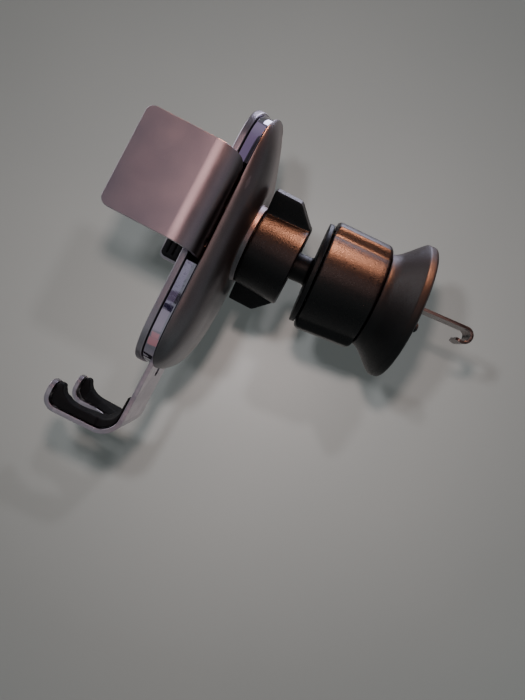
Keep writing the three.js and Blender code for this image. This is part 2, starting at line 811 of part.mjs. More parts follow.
addPiece('foot_bracket', footBracket(), ALUMINIUM);
addPiece('foot_slider', footSlider(), BLACK);
addPiece('foot_pad', footPad(), RUBBER);
footRivetSpots().forEach((spot, i) => addPiece(`foot_rivet_${i + 1}`, footRivet(spot), STEEL));

for (const [side, word] of [[-1, 'left'], [1, 'right']]) {
  addPiece(`arm_${word}`, arm(side), ALUMINIUM);
  addPiece(`arm_pad_${word}`, armPad(side), RUBBER);
  addPiece(`arm_pin_${word}`, armPin(side), STEEL);
}

addPiece('ball_stud', ballStud(), BLACK);
addPiece('hook_strip', hookStrip(), STEEL);
hookRivetSpots().forEach((y, i) => addPiece(`hook_rivet_${i + 1}`, hookRivet(y), STEEL));
addPiece('knob', knob(), BLACK);
addPiece('thread_sleeve', threadSleeve(), BLACK);
addPiece('flared_base', flaredBase(), BLACK);
for (const [side, word] of [[-1, 'left'], [1, 'right']]) {
  addPiece(`face_nub_${word}`, faceNub(side), RUBBER);
}

export default group;
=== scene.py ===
"""Looks of the car phone mount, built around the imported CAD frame.

Lengths are in millimetres in the constants and the shape code, and in metres in every mesh and
for the camera and the lights.
The frame is the CAD's: Z up along the cradle, Y from the phone towards the vent, X across.
"""

import math

import bmesh
import bpy
from mathutils import Matrix, Vector


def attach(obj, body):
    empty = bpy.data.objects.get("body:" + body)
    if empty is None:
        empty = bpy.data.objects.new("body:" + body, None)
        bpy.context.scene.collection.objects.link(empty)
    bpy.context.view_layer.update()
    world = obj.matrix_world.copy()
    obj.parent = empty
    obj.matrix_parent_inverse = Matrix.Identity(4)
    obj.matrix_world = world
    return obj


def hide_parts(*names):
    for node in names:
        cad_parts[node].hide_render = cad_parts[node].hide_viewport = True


MM = 0.001

# Right half of the cradle's outline from the top to the bottom, x and z.
OUTLINE = [
    (0, 40.5), (9, 39.5), (17, 37.2), (24.5, 33.8), (29, 30.2), (31.4, 25.5), (31.9, 19),
    (31.4, 10), (29.8, -2), (28.4, -14), (27.4, -26), (26.8, -36), (25.2, -44),
    (21.3, -49.8), (15, -52.3), (8, -53.2), (0, -53.5),
]
OUTLINE_SAMPLES = 208

# The cradle's layers from the phone's side to the back.
PLATE_BACK, PLATE_ROUND, RECESS_INSET, RECESS_FLOOR = 2.1, 0.42, 4.6, 0.9
REST_INSET, REST_FACE, REST_BACK = 4.85, 0.02, 0.85
REST_GROOVES, REST_GROOVE_TOP, REST_GROOVE_STEP = 13, 30, 6
REST_GROOVE_HALF, REST_GROOVE_FLOOR = 0.45, 0.32
BAND_FRONT, BAND_BACK, BAND_INSET, BAND_WIDTH = 2.4, 6.1, 0.75, 1.9
BAND_ROUND, BAND_STEM_Y = 0.25, 4.2
SHELL_FRONT, SHELL_CROWN, SHELL_WALL = 6.4, 14.3, 1.2
# The dome's shape towards the sides and the foot, then towards the top.
DOME_POWER, DOME_SOFTNESS, DOME_TOP_DROP = (4.4, 2.3), (0.5, 0.95), 0.3
COLLAR_BACK, COLLAR_R, COLLAR_HOLE_R, COLLAR_DIP, DIP_REACH = 15.0, 14.0, 11.6, 0.75, 6.5

# The bent sheets: the arms, then the foot.
SHEET = 1.6
ARM_X, ARM_TIP_Y, ARM_TOP, ARM_BOTTOM, ARM_BEND_R = 42.3, -23.4, 15.0, -15.8, 12.0
ARM_ROOT_BACK, ARM_ROOT_TOP, ARM_INNER_X, ARM_LAYER_BACK = 5.9, 12.4, 16.0, 4.1
ARM_SHOULDER = [(39.6, 15.0), (37.2, 14.8), (34.4, 14.1), (31.6, 12.8), (29.5, 12.4)]
ARM_WINDOWS = [(1.6, 8.6), (-11.6, -9.4)]
ARM_SLOT = (-17.4, 15.7)
ARM_WINDOW_X = (27.0, 33.0)
NOTCH_X = 28.2
PAD_THICK, PAD_TIP_Y, PAD_ROOT_Y = 2.0, -22.5, -7.0
PAD_GROOVES, PAD_GROOVE_Y, PAD_GROOVE_STEP, PAD_GROOVE_DEPTH = 5, -20, 2.6, 0.6
PAD_GROOVE_HALF, PAD_GROOVE_FLOOR_HALF = 0.5, 0.35
PIN_X, PIN_Z, PIN_HOLE_R = 18.0, 1.0, 1.25

FOOT_TOP, FOOT_BACK, FOOT_BOTTOM, FOOT_TIP_Y, FOOT_TIP_TOP = -8.0, 6.1, -80.6, -20.5, -71.0
FOOT_BEND_R, FOOT_TIP_R = 7.6, 7.4
STEM_HALF, TIP_HALF, GAP_HALF, CROTCH_HALF = 13.7, 16.75, 9.0, 4.5
# Lengths along the foot's flat sheet where the gap reaches its full width and where it starts.
FOOT_SPLAY, FOOT_CROTCH = 84.6, 76.9
SLOT_HALF, SLOT_TOP, SLOT_BOTTOM = 2.0, -20.0, -57.0
FOOT_RIVET_X, FOOT_RIVET_DROP = 8.5, 5.0
# The foot pad: its top at the back and at the tips, and what is cut from it beside the stem,
# under the prongs, at the prongs' outer and inner corners and between the prongs.
PAD_LAYER, PAD_TOP, PAD_TIP_TOP, PAD_FLOOR_THICK = 1.9, -65.5, -71.0, 2.9
PAD_BESIDE = [(13.3, 2), (13.3, -66), (14.9, -84), (40, -84), (40, 2)]
PAD_BELOW = [(14.6, 0.02), (16.3, -25), (40, -25), (40, 0.02)]
PAD_OUTER_CORNER = [(14.6, -69.5), (15.6, -71.8), (16.1, -74), (16.4, -78), (20, -78), (20, -69.5)]
PAD_INNER_CORNER = [(11.9, -69.5), (11.2, -71.8), (10.8, -74), (10.6, -78), (7, -78), (7, -69.5)]
PAD_GAP = [
    (-4.9, -1.3, 3), (-9.5, -9, 3), (-10.6, -18, 3), (-10.6, -30, 0),
    (10.6, -30, 0), (10.6, -18, 3), (9.5, -9, 3), (4.9, -1.3, 3),
]

# The ball joint and its clamp nut.
BALL_Y, BALL_R, NECK_R = 23.1, 8.5, 5.0
NUT_FRONT, NUT_BACK, NUT_FRONT_R, NUT_BACK_R, NUT_BORE_R = 15.3, 31.8, 13.9, 14.8, 11.5
WING_R, WING_HALF, WING_FLAT_Y, WING_TURN = 22.0, 1.9, 24.0, 32.0
# Radius of the wings' slope at WING_FLAT_Y and at the nut's back.
WING_SLOPE_START, WING_SLOPE_END = 23.0, 14.6
# The nut's open mouth, from its back face in: radius, y and corner radius.
NUT_MOUTH = [
    (14, NUT_BACK, 0), (10.7, NUT_BACK, 0.4), (8.16, 28.06, 0.3), (8.8, 26.8, 0), (8.8, 26, 0),
]

# The vent clip, along its own axis from the ball's centre.
CLIP_TILT = 4.0
DISC_FRONT, DISC_BACK, DISC_R = 14.6, 16.5, 18.3
KNOB_FRONT, KNOB_BACK, KNOB_FRONT_R, KNOB_BACK_R = 16.9, 38.0, 17.9, 17.1
LOBE, LOBE_TURN, LOBE_HALF, LOBE_BLEND = 2.3, 12.0, 28.0, 6.0
KNOB_BORE_R, KNOB_FACE_R, KNOB_ROUND, LOBE_ROUND = 9.35, 15.2, 0.9, 0.8
STEM_R, STEM_BACK, STEM_FLAT_Z, STEM_FLAT_FROM = 6.0, 46.0, 2.65, 28.0
# The flared base's outside as radius and y, then its inside with corner radii.
FACE_Y = 51.2
FLARE = [
    (17, 38.3), (17.3, 39.6), (18.2, 41.3), (20.2, 43.6), (22.4, 45.9), (24.3, 48.0),
    (24.65, 48.5), (24.7, 49.0), (24.7, 50.5), (24.6, 50.9), (24.2, FACE_Y), (23.4, FACE_Y),
]
FLARE_INSIDE = [
    (23.4, FACE_Y, 0), (20, FACE_Y, 0.4), (19, 48.2, 1.5), (15.4, 41.4, 1.2), (11.8, 41.4, 0.5),
    (11.8, 47.1, 0.3), (9.3, 47.1, 0.2), (9.3, 38.3, 0.3), (17, 38.3, 0.3), (17.1, 38.9, 0),
]
NUB_R, NUB_X, NUB_Z, NUB_HEIGHT, NUB_SIDE, NUB_GAP = 1.6, 21.0, -6.3, 1.2, 0.35, 0.15
HOOK_WIDTH, HOOK_THICK, HOOK_TOP, HOOK_START, HOOK_END = 8.0, 1.05, 4.0, 29.0, 76.0
HOOK_CURL_R, HOOK_BACK, HOOK_RIVETS = 3.15, 2.2, (32.5, 41.5)

CAMERA_PLACE = (0.187, 0.0357, -0.0312)
CAMERA_ROLL = 27.5
CAMERA_LENS = 27.05

# Everything about the lights is in metres, with powers in watts.
OBJECT_CENTER = (0.0, 0.02, -0.01)
# Name, place, target, size, power, colour and the set of pieces that the light reaches.
LIGHTS = [
    ("warm_top", (0.19, 0.03, 0.39), OBJECT_CENTER, (0.09, 0.20), 4.6, (1.0, 0.40, 0.22),
     "warm_set"),
    ("cool_back", (-0.12, 0.02, 0.30), OBJECT_CENTER, (0.14, 0.24), 0.6, (0.78, 0.78, 1.0),
     "mount_only"),
    ("pink_side", (0.45, 0.05, 0.10), (0, 0.05, 0.10), (0.22, 0.24), 0.36, (1.0, 0.66, 0.60),
     "satin_set"),
    ("front_fill", (0.05, -0.80, 0.35), OBJECT_CENTER, (0.9, 0.7), 5.0, (0.96, 0.96, 1.0),
     "mount_only"),
    ("back_fill", (-0.05, 0.85, 0.30), OBJECT_CENTER, (0.9, 0.6), 2.6, (0.92, 0.97, 0.97),
     "clip_set"),
    ("mauve_card", (0.50, -0.17, 0.145), (0, 0, 0.145), (0.26, 0.44), 0.045, (0.72, 0.80, 1.0),
     "satin_set"),
    ("band_card", (0.50, -0.17, 0.25), (0, 0, 0.25), (0.26, 0.40), 0.085, (0.82, 0.64, 1.0),
     "band_set"),
    ("band_card_mid", (0.50, -0.17, -0.018), (0, 0, -0.018), (0.26, 0.135), 0.0125,
     (0.82, 0.64, 1.0), "band_set"),
    ("band_card_top", (0.20, -0.10, 0.42), (0, 0, 0.03), (0.30, 0.36), 0.09, (0.82, 0.68, 1.0),
     "band_set"),
    ("mauve_card_low", (0.50, -0.15, -0.198), (0, 0, -0.198), (0.26, 0.21), 0.019,
     (0.98, 0.66, 0.84), "mount_only"),
    ("red_card", (0.50, -0.11, -0.42), (0, 0, -0.42), (0.20, 0.18), 0.03, (1.0, 0.22, 0.20),
     "band_set"),
    ("red_card_low", (0.30, -0.06, -0.50), (0.03, 0, -0.05), (0.26, 0.26), 0.05, (1.0, 0.22, 0.20),
     "band_set"),
]
# Small lights around the camera that cast shadows on the backdrop: place from the camera, power
# and colour.
KEY_SIZE, KEY_TARGET = (0.007, 0.007), (-0.2, 0.03, -0.02)
KEY_LIGHTS = [
    ((0.0, -0.0105, 0.0201), 0.60, (1.0, 0.80, 0.76)),
    ((0.0, -0.0262, 0.0150), 0.38, (0.90, 0.90, 0.94)),
    ((0.0, 0.0035, 0.0604), 0.22, (0.96, 0.92, 0.96)),
]
# Pieces that the warm lamp leaves out, and pieces of the clip that the back fill reaches.
COOL_PIECES = [
    "front_plate_hd", "rest_pad", "arm_pad_left_hd", "arm_pad_right_hd", "foot_pad_hd",
    "foot_bracket_hd", "ball_stud_hd",
]
CLIP_PIECES = [
    "clamp_nut_hd", "ball_stud_hd", "knob_hd", "flared_base_hd", "hook_strip_hd",
    "face_nub_left_hd", "face_nub_right_hd", "thread_sleeve",
]
# The backdrop, the card that the trim band mirrors, and the colours of the satin metal.
STAGE_BACK, STAGE_FLOOR, STAGE_REACH, STAGE_TOP, STAGE_CURVE = -205.0, -520.0, 6000.0, 900, 120
NAVY_BLOCK = (480, 481, -330, 0, -113, -80)
MAUVE = ((0.335, 0.305, 0.355), (0.385, 0.35, 0.40), (0.62, 0.55, 0.60), 0.31)
GUNMETAL = ((0.12, 0.115, 0.125), (0.15, 0.14, 0.152), (0.26, 0.24, 0.26), 0.35)
# Painted shade on an arm's root: distances from the middle where it starts to fade and ends, then
# its near-black colour.
ROOT_SHADE, ROOT_SHADE_COLOR = (36.5, 40.4), (0.02, 0.018, 0.021)


# ---- flat shapes ----

def lerp(a, b, share):
    return a + (b - a) * share


def smoothstep(value, low, high):
    share = min(max((value - low) / (high - low), 0.0), 1.0)
    return share * share * (3 - 2 * share)


def soft_min(a, b, width):
    share = min(max(0.5 + 0.5 * (b - a) / width, 0.0), 1.0)
    return lerp(b, a, share) - width * share * (1 - share)


def soft_max(a, b, width):
    return -soft_min(-a, -b, width)


def arc(center_a, center_b, radius, start, end, steps):
    """Points on an arc, with angles in degrees."""
    points = []
    for i in range(steps + 1):
        angle = math.radians(lerp(start, end, i / steps))
        points.append((center_a + radius * math.cos(angle), center_b + radius * math.sin(angle)))
    return points


def fillet(corners, steps=6):
    """Points along a polygon given as (a, b, radius), each corner rounded to its radius."""
    points = []
    for i, (a, b, radius) in enumerate(corners):
        here = Vector((a, b))
        back = Vector(corners[i - 1][:2]) - here
        ahead = Vector(corners[(i + 1) % len(corners)][:2]) - here
        half = back.angle(ahead, math.pi) / 2
        if radius <= 0 or half > math.radians(89.5):
            points.append((a, b))
            continue
        cutback = min(radius / math.tan(half), 0.49 * back.length, 0.49 * ahead.length)
        first = here + back.normalized() * cutback
        last = here + ahead.normalized() * cutback
        inward = (back.normalized() + ahead.normalized()).normalized()
        center = here + inward * (cutback / math.cos(half))
        start = math.atan2(first.y - center.y, first.x - center.x)
        turn = math.atan2(last.y - center.y, last.x - center.x) - start
        turn = (turn + math.pi) % (2 * math.pi) - math.pi
        reach = (first - center).length
        for k in range(steps + 1):
            angle = start + turn * k / steps
            points.append((center.x + reach * math.cos(angle), center.y + reach * math.sin(angle)))
    return points


def rounded_rect(a0, a1, b0, b1, radius, steps=6):
    return fillet([(a0, b0, radius), (a1, b0, radius), (a1, b1, radius), (a0, b1, radius)], steps)


def curve_through(control, samples, closed=True):
    """Evenly spaced points on a centripetal Catmull-Rom curve through the control points."""
    count = len(control)
    fine = []
    for i in range(count if closed else count - 1):
        if closed:
            p = [Vector(control[(i + k - 1) % count]) for k in range(4)]
        else:
            p = [Vector(control[min(max(i + k - 1, 0), count - 1)]) for k in range(4)]
        gaps = [max(math.sqrt((p[k + 1] - p[k]).length), 1e-4) for k in range(3)]
        middle = (p[2] - p[1]) / gaps[1]
        if gaps[0] > 1e-3:
            start = (p[1] - p[0]) / gaps[0] - (p[2] - p[0]) / (gaps[0] + gaps[1]) + middle
        else:
            start = middle
        if gaps[2] > 1e-3:
            end = middle - (p[3] - p[1]) / (gaps[1] + gaps[2]) + (p[3] - p[2]) / gaps[2]
        else:
            end = middle
        start, end = start * gaps[1], end * gaps[1]
        for k in range(40):
            t = k / 40
            square, cube = t * t, t * t * t
            fine.append(
                p[1] + start * t
                + (3 * (p[2] - p[1]) - 2 * start - end) * square
                + (2 * (p[1] - p[2]) + start + end) * cube
            )
    fine.append(Vector(control[0] if closed else control[-1]))
    lengths = [0.0]
    for before, after in zip(fine, fine[1:]):
        lengths.append(lengths[-1] + (after - before).length)
    points = []
    k = 0
    for i in range(samples if closed else samples + 1):
        target = lengths[-1] * i / samples
        while k < len(fine) - 2 and lengths[k + 1] < target:
            k += 1
        share = (target - lengths[k]) / max(lengths[k + 1] - lengths[k], 1e-9)
        point = fine[k].lerp(fine[k + 1], share)
        points.append((point.x, point.y))
    return points


def outline(inset=0.0):
    """The cradle's outline, x and z, shrunk inwards by an even amount."""
    left = [(-x, z) for x, z in reversed(OUTLINE[1:-1])]
    points = curve_through(OUTLINE + left, OUTLINE_SAMPLES)
    count = len(points)
    shrunk = []
    for i, (x, z) in enumerate(points):
        before, after = points[i - 1], points[(i + 1) % count]
        along = Vector((after[0] - before[0], after[1] - before[1])).normalized()
        shrunk.append((x + along.y * inset, z - along.x * inset))
    return shrunk


# ---- meshes ----

def new_piece(name, points, faces):
    mesh = bpy.data.meshes.new(name)
    mesh.from_pydata([(x * MM, y * MM, z * MM) for x, y, z in points], [], faces)
    piece = bpy.data.objects.new(name, mesh)
    bpy.context.scene.collection.objects.link(piece)
    turn_outwards(piece)
    return piece


def turn_outwards(piece):
    work = bmesh.new()
    work.from_mesh(piece.data)
    bmesh.ops.recalc_face_normals(work, faces=work.faces)
    work.to_mesh(piece.data)
    work.free()


def surface(name, rings, loop=False):
    """A skin over rings of points. A ring of one point is a pole, and loop joins the last ring
    back to the first."""
    points = []
    starts = []
    for ring in rings:
        starts.append(len(points))
        points.extend(ring)
    faces = []
    for i in range(len(rings) if loop else len(rings) - 1):
        j = (i + 1) % len(rings)
        here, there = starts[i], starts[j]
        count = max(len(rings[i]), len(rings[j]))
        for k in range(count):
            m = (k + 1) % count
            if len(rings[i]) == 1:
                faces.append((here, there + m, there + k))
            elif len(rings[j]) == 1:
                faces.append((here + k, here + m, there))
            else:
                faces.append((here + k, here + m, there + m, there + k))
    return new_piece(name, points, faces)


def polar(radius, degrees, y):
    """A point about the Y axis, with the angle from the top."""
    angle = math.radians(degrees)
    return (radius * math.sin(angle), y, radius * math.cos(angle))


def turned(name, profile, segments=128, loop=False):
    """A body turned about the Y axis from (radius, y) points."""
    rings = []
    for radius, y in profile:
        if radius < 1e-6:
            rings.append([(0, y, 0)])
            continue
        ring = []
        for k in range(segments):
            angle = 2 * math.pi * k / segments
            ring.append((radius * math.sin(angle), y, radius * math.cos(angle)))
        rings.append(ring)
    return surface(name, rings, loop)


def slab(name, shape, low, high, axis):
    """A flat shape thickened along an axis. The shape's points are the other two axes in order."""
    spread = {
        "x": lambda a, b, depth: (depth, a, b),
        "y": lambda a, b, depth: (a, depth, b),
        "z": lambda a, b, depth: (a, b, depth),
    }[axis]
    count = len(shape)
    points = [spread(a, b, low) for a, b in shape] + [spread(a, b, high) for a, b in shape]
    faces = [tuple(range(count)), tuple(range(count, 2 * count))]
    for k in range(count):
        m = (k + 1) % count
        faces.append((k, m, count + m, count + k))
    return new_piece(name, points, faces)


def block(x0, x1, y0, y1, z0, z1):
    return slab("tool", [(x0, y0), (x1, y0), (x1, y1), (x0, y1)], z0, z1, "z")


def apply_modifiers(piece):
    graph = bpy.context.evaluated_depsgraph_get()
    mesh = bpy.data.meshes.new_from_object(piece.evaluated_get(graph))
    piece.modifiers.clear()
    old = piece.data
    piece.data = mesh
    mesh.name = piece.name
    bpy.data.meshes.remove(old)


def combine(piece, tools, operation="DIFFERENCE"):
    for tool in tools:
        step = piece.modifiers.new("combine", "BOOLEAN")
        step.operation = operation
        step.solver = "EXACT"
        step.object = tool
    apply_modifiers(piece)
    for tool in tools:
        bpy.data.objects.remove(tool)
    return piece


def soften(piece, width, segments=3, angle=32):
    """Rounds every edge sharper than the angle."""
    step = piece.modifiers.new("soften", "BEVEL")
    step.width = width * MM
    step.segments = segments
    step.limit_method = "ANGLE"
    step.angle_limit = math.radians(angle)
    step.miter_outer = "MITER_ARC"
    apply_modifiers(piece)
    return piece


def shade(piece, angle=38, weighted=True):
    piece.data.polygons.foreach_set("use_smooth", [True] * len(piece.data.polygons))
    piece.data.set_sharp_from_angle(angle=math.radians(angle))
    if weighted:
        step = piece.modifiers.new("weighted", "WEIGHTED_NORMAL")
        step.keep_sharp = True
        step.weight = 60
        apply_modifiers(piece)
    return piece


def mirror_x(piece):
    piece.data.transform(Matrix.Scale(-1, 4, (1, 0, 0)))
    turn_outwards(piece)
    return piece


def on_clip(piece):
    """Stands a piece built on the Y axis about the ball centre onto the tilted clip axis."""
    tilt = Matrix.Rotation(math.radians(CLIP_TILT), 4, "X")
    piece.data.transform(Matrix.Translation((0, BALL_Y * MM, 0)) @ tilt)
    return piece


# ---- bent sheet metal ----

class BendPath:
    """The side view of a sheet's outer face, as a polyline with its length and its normals."""

    def __init__(self, corners, steps=18):
        self.points = [Vector(p) for p in fillet(corners, steps)]
        self.lengths = [0.0]
        for before, after in zip(self.points, self.points[1:]):
            self.lengths.append(self.lengths[-1] + (after - before).length)
        self.normals = []
        for i in range(len(self.points)):
            before = self.points[max(i - 1, 0)]
            after = self.points[min(i + 1, len(self.points) - 1)]
            along = (after - before).normalized()
            self.normals.append(Vector((-along.y, along.x)))

    def at(self, length):
        k = 0
        while k < len(self.lengths) - 2 and self.lengths[k + 1] < length:
            k += 1
        share = (length - self.lengths[k]) / (self.lengths[k + 1] - self.lengths[k])
        place = self.points[k].lerp(self.points[k + 1], share)
        return place, self.normals[k].lerp(self.normals[k + 1], share)

    def length_at(self, value, part=0):
        """Length along the path where its first (or second) coordinate first passes a value."""
        for i in range(len(self.points) - 1):
            a, b = self.points[i][part], self.points[i + 1][part]
            if (a - value) * (b - value) <= 0 and a != b:
                return lerp(self.lengths[i], self.lengths[i + 1], (value - a) / (b - a))
        raise ValueError("the path never gets there")


def bent_sheet(name, pattern, holes, thick, path, place, edge):
    """Cuts a flat pattern (length along, width), rounds its edges and bends it along the path."""
    piece = slab(name, pattern, -thick, 0, "z")
    if holes:
        combine(piece, [slab("tool", hole, -thick - 1, 1, "z") for hole in holes])
    soften(piece, edge)
    work = bmesh.new()
    work.from_mesh(piece.data)
    for length in path.lengths[1:-1]:
        everything = work.verts[:] + work.edges[:] + work.faces[:]
        bmesh.ops.bisect_plane(
            work, geom=everything, dist=1e-7, plane_co=(length * MM, 0, 0), plane_no=(1, 0, 0)
        )
    for vert in work.verts:
        at, normal = path.at(vert.co.x / MM)
        at = at + normal * (vert.co.z / MM)
        vert.co = Vector(place(at.x, at.y, vert.co.y / MM)) * MM
    bmesh.ops.recalc_face_normals(work, faces=work.faces)
    work.to_mesh(piece.data)
    work.free()
    return shade(piece)


# ---- cradle pieces ----

def front_plate():
    section = fillet([
        (6, PLATE_BACK, 0), (0, PLATE_BACK, PLATE_ROUND), (0, 0, PLATE_ROUND),
        (RECESS_INSET, 0, 0.3), (RECESS_INSET, RECESS_FLOOR, 0), (6, RECESS_FLOOR, 0),
    ], 5)
    rings = [[(x, y, z) for x, z in outline(inset)] for inset, y in section]
    poles = [(0, PLATE_BACK, 0)], [(0, RECESS_FLOOR, 0)]
    plate = surface("front_plate_hd", [poles[0], *rings, poles[1]])
    low, high = ARM_SLOT
    tools = []
    for side in (-1, 1):
        a0, a1 = sorted((side * NOTCH_X, side * 50))
        tools.append(slab("tool", rounded_rect(a0, a1, low, high, 2.5), -1, 4, "y"))
    combine(plate, tools)
    return shade(soften(plate, 0.3))


def rest_pad():
    """Thin rubber facing set flush into the front plate, with shallow cross grooves."""
    pad = slab("rest_pad", outline(REST_INSET), REST_FACE, REST_BACK, "y")
    grooves = []
    for i in range(REST_GROOVES):
        z = REST_GROOVE_TOP - i * REST_GROOVE_STEP
        low, high = z - REST_GROOVE_HALF, z + REST_GROOVE_HALF
        grooves.append(block(-40, 40, -1, REST_GROOVE_FLOOR, low, high))
    combine(pad, grooves)
    return shade(soften(pad, 0.18, 2))


def trim_band(name, upper):
    """The polished band between the plate and the shell, above or below the arms' slots. It is
    cut back where the foot's stem passes."""
    outer, inner = BAND_INSET, BAND_INSET + BAND_WIDTH
    section = fillet([
        (outer, BAND_FRONT, BAND_ROUND), (outer, BAND_BACK, BAND_ROUND),
        (inner, BAND_BACK, BAND_ROUND), (inner, BAND_FRONT, BAND_ROUND),
    ], 4)
    rings = [[(x, y, z) for x, z in outline(inset)] for inset, y in section]
    band = surface(name, rings, loop=True)
    cut_z = ARM_SLOT[1] if upper else ARM_SLOT[0]
    low, high = (-60, cut_z) if upper else (cut_z, 60)
    half = STEM_HALF + 0.5
    arms = block(-50, 50, 0, 9, low, high)
    combine(band, [arms, block(-half, half, BAND_STEM_Y, 9, -60, -40)])
    return shade(band, 40, weighted=False)


def dome_y(share, cosine):
    """Height of the domed back over a share of the way to the rim, in a direction from the top."""
    upper = max(0.0, cosine) ** 2
    power = lerp(*DOME_POWER, upper)
    softness = lerp(*DOME_SOFTNESS, upper)
    crown = lerp(SHELL_CROWN, SHELL_CROWN - DOME_TOP_DROP, upper)
    return SHELL_FRONT + (crown - SHELL_FRONT) * max(0.0, 1 - share ** power) ** softness


def collar_dip(reach):
    """Depth of the shallow hollow round the foot of the collar."""
    return COLLAR_DIP * (1 - smoothstep(reach, COLLAR_R, COLLAR_R + DIP_REACH))


def back_shell():
    rim = outline()
    rings = []

    def ring(place):
        rings.append([place(x, z, math.hypot(x, z)) for x, z in rim])

    def circle(radius, y):
        ring(lambda x, z, r: (x / r * radius, y, z / r * radius))

    def dome(share):
        def place(x, z, r):
            reach = lerp(COLLAR_R + 0.35, r, share)
            y = dome_y(reach / r, z / r) - collar_dip(reach)
            return (x / r * reach, y, z / r * reach)
        ring(place)

    def lining(share):
        def place(x, z, r):
            reach = lerp(COLLAR_HOLE_R, r - SHELL_WALL, share)
            y = dome_y(reach / r, z / r) - SHELL_WALL - collar_dip(reach)
            y = max(y, SHELL_FRONT + 0.1)
            return (x / r * reach, y, z / r * reach)
        ring(place)

    def lip(inset):
        ring(lambda x, z, r: (x / r * (r - inset), SHELL_FRONT, z / r * (r - inset)))

    lip(0.22)
    lip(SHELL_WALL)
    for i in range(14):
        lining(1 - i / 14 * 0.94)
    circle(COLLAR_HOLE_R, SHELL_CROWN - SHELL_WALL - COLLAR_DIP - 0.2)
    circle(COLLAR_HOLE_R, COLLAR_BACK - 0.2)
    circle(COLLAR_HOLE_R + 0.2, COLLAR_BACK)
    for a, y in arc(COLLAR_R - 0.3, COLLAR_BACK - 0.3, 0.3, 90, 0, 4):
        circle(a, y)
    shares = [0.0, 0.02] + [0.05 + 0.85 * i / 24 for i in range(25)]
    shares += [0.90 + 0.10 * (1 - (1 - i / 16) ** 2) for i in range(1, 16)]
    for share in shares:
        dome(share)
    ring(lambda x, z, r: (x / r * (r - 0.03), SHELL_FRONT + 0.16, z / r * (r - 0.03)))
    shell = surface("back_shell_hd", rings, loop=True)
    return shade(shell, 50, weighted=False)


# ---- arms ----

def arm_path(sunk=0.0):
    """Outer face of an arm seen from the end, or a face sunk below it."""
    layer, root, x = ARM_LAYER_BACK - sunk, ARM_ROOT_BACK - sunk, ARM_X - sunk
    return BendPath([
        (ARM_INNER_X, layer, 0), (22, layer, 1.6), (24.8, root, 1.6),
        (x, root, ARM_BEND_R - sunk), (x, ARM_TIP_Y, 0),
    ], 24)


def arm(side, name):
    path = arm_path()
    total = path.lengths[-1]
    shoulder = [(path.length_at(x), z, 4.0) for x, z in ARM_SHOULDER]
    pattern = fillet([
        (0, ARM_BOTTOM, 1.5), (total, ARM_BOTTOM, 2.5), (total, ARM_TOP, 2.5),
        *shoulder, (0, ARM_ROOT_TOP, 1.5),
    ])
    low, high = (path.length_at(x) for x in ARM_WINDOW_X)
    holes = [rounded_rect(low, high, z0, z1, 0.7) for z0, z1 in ARM_WINDOWS]
    holes.append(arc(path.length_at(PIN_X), PIN_Z, PIN_HOLE_R, 0, 350, 35))
    piece = bent_sheet(name, pattern, holes, SHEET, path, lambda a, b, w: (a, b, w), 0.24)
    return piece if side > 0 else mirror_x(piece)


def arm_window_shade(side, window, name):
    """Black sheet just below the arm's face in one of its windows: painted shade for the dark open
    window.
    """
    path = arm_path(0.25)
    low, high = path.length_at(27.05), path.length_at(32.95)
    z0, z1 = ARM_WINDOWS[window]
    shape = rounded_rect(low, high, z0 + 0.05, z1 - 0.05, 0.65)
    window_shade = bent_sheet(name, shape, [], 1.2, path, lambda a, b, w: (a, b, w), 0.12)
    return window_shade if side > 0 else mirror_x(window_shade)


def arm_pad(side, name):
    outer = ARM_X - SHEET - 0.3
    shape = rounded_rect(PAD_TIP_Y, PAD_ROOT_Y, ARM_BOTTOM + 1, ARM_TOP - 1, 2)
    pad = slab(name, shape, outer - PAD_THICK, outer, "x")
    face = outer - PAD_THICK
    floor = face + PAD_GROOVE_DEPTH
    grooves = []
    for i in range(PAD_GROOVES):
        y = PAD_GROOVE_Y + i * PAD_GROOVE_STEP
        section = fillet([
            (face - 1, y - PAD_GROOVE_HALF, 0), (floor, y - PAD_GROOVE_FLOOR_HALF, 0.3),
            (floor, y + PAD_GROOVE_FLOOR_HALF, 0.3), (face - 1, y + PAD_GROOVE_HALF, 0),
        ], 4)
        grooves.append(slab("tool", section, -13, 12.2, "z"))
    combine(pad, grooves)
    shade(soften(pad, 0.3))
    return pad if side > 0 else mirror_x(pad)


# ---- foot ----

def foot_path():
    return BendPath([
        (FOOT_BACK, FOOT_TOP, 0), (FOOT_BACK, FOOT_BOTTOM, FOOT_BEND_R),
        (FOOT_TIP_Y, FOOT_BOTTOM, FOOT_TIP_R), (FOOT_TIP_Y, FOOT_TIP_TOP, 0),
    ], 24)


def foot_bracket():
    """Forked sheet. Its half outline is length from the top, half width and corner radius."""
    path = foot_path()
    total = path.lengths[-1]
    half = [
        (0, STEM_HALF, 2.0), (57, STEM_HALF, 30.0), (77, 15.2, 30.0), (total, TIP_HALF, 2.7),
        (total, GAP_HALF, 2.7), (FOOT_SPLAY, GAP_HALF, 5.0), (FOOT_CROTCH, CROTCH_HALF, 3.0),
    ]
    pattern = fillet(half + [(s, -w, r) for s, w, r in reversed(half)])
    slot = rounded_rect(FOOT_TOP - SLOT_TOP, FOOT_TOP - SLOT_BOTTOM, -SLOT_HALF, SLOT_HALF, 1.95)
    holes = [slot]
    for x in (-FOOT_RIVET_X, FOOT_RIVET_X):
        holes.append(arc(FOOT_RIVET_DROP, x, PIN_HOLE_R, 0, 350, 35))
    return bent_sheet(
        "foot_bracket_hd", pattern, holes, SHEET, path, lambda a, b, w: (w, a, b), 0.16
    )


